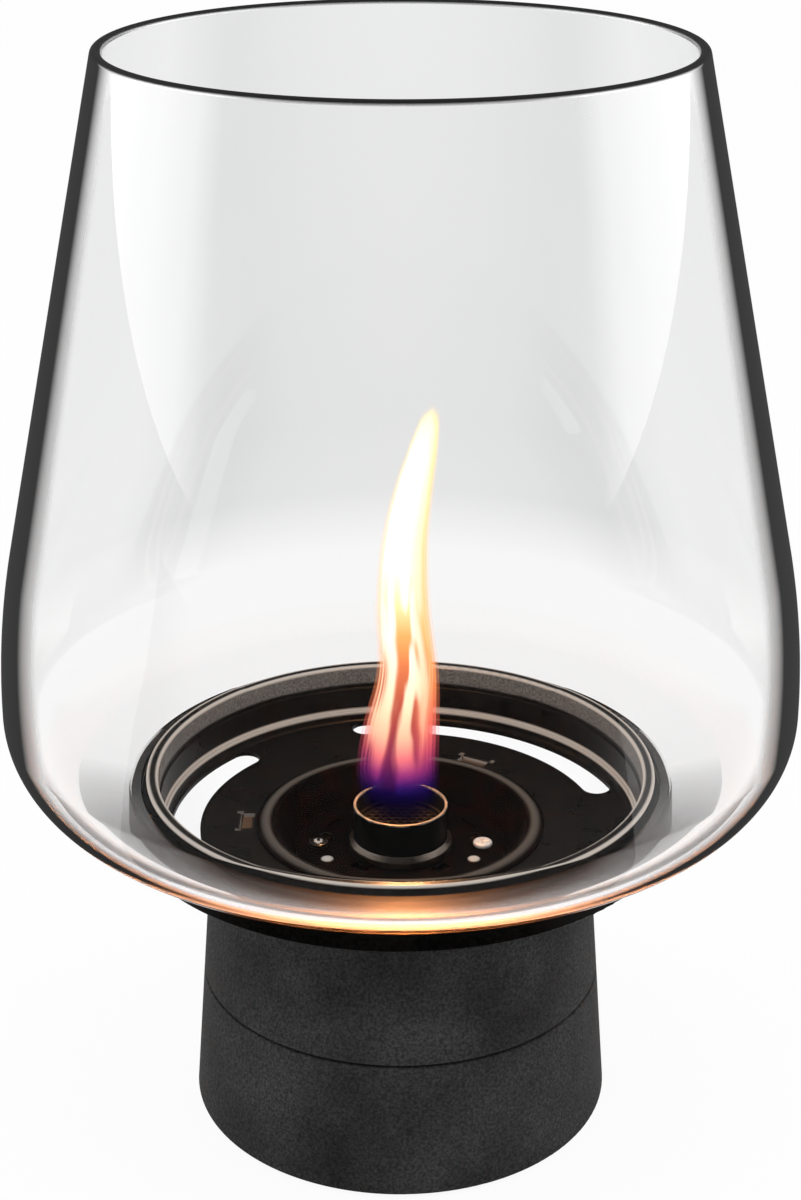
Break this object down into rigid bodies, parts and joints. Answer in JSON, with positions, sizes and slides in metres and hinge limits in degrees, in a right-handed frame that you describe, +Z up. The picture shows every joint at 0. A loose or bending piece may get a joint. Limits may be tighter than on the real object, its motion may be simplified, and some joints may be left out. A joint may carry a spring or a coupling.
{
  "type": "tabletop fireplace",
  "caption": "Tabletop fireplace: a black conical base carries a slotted burner dish with a lift-out liquid-fuel burner, inside a clear glass shade open at the top that lifts off its seat.",
  "frame": {"origin": "centre of the footprint, on the table", "axes": "+Z up along the centre of the base, burner and glass; -Y faces the viewer; +X to the viewer's right"},
  "size_m": [0.22, 0.22, 0.3058],
  "materials": {
    "matte_black": "fine sandy matte black coating on a casting",
    "ring_aluminium": "black anodised, seen only in the shadow gap",
    "cover_black": "satin black coating on pressed sheet",
    "black_rubber": "matte moulded rubber",
    "raw_steel": "drawn or turned steel, dull",
    "bright_steel": "bright plated fasteners",
    "grey_felt": "pressed felt",
    "pale_fibre": "pressed heat-proof fibre",
    "dish_black": "semi-gloss heat-proof black coating with a fine grain",
    "burner_black": "satin heat-proof black coating",
    "tube_black": "smooth heat-proof black coating with a worn bright rim",
    "gauze_steel": "heat-darkened steel",
    "clear_silicone": "dark clear silicone",
    "clear_glass": "clear blown glass, fire-polished rim and ground foot"
  },
  "bodies": {
    "base": {"base_foot": "matte_black", "base_neck": "matte_black", "seam_ring": "ring_aluminium", "bottom_cover": "cover_black", "foot_ring": "black_rubber", "ballast_ring": "raw_steel", "tie_screw": "bright_steel", "tie_washer": "bright_steel", "well_nut": "bright_steel", "canister_well": "raw_steel", "well_pad": "grey_felt", "heat_gasket": "pale_fibre", "burner_dish": "dish_black", "seat_ring": "dish_black", "glass_gasket": "clear_silicone"},
    "glass": {"glass_shade": "clear_glass"},
    "burner": {"burner_cup": "burner_black", "head_plate": "burner_black", "head_gasket": "pale_fibre", "head_screws": "bright_steel", "screw_nuts": "bright_steel", "burner_tube": "tube_black", "tube_collar": "tube_black", "flame_gauze": "gauze_steel", "gauze_ring": "gauze_steel", "wick_core": "pale_fibre", "canister_shell": "raw_steel", "canister_lid": "raw_steel", "fuel_wool": "pale_fibre"}
  },
  "joints": [
    {"name": "glass_lift", "type": "slide", "parent": "base", "child": "glass", "axis": [0, 0, 1], "range_m": [0, 0.15]},
    {"name": "burner_lift", "type": "slide", "parent": "base", "child": "burner", "axis": [0, 0, 1], "range_m": [0, 0.3]}
  ]
}
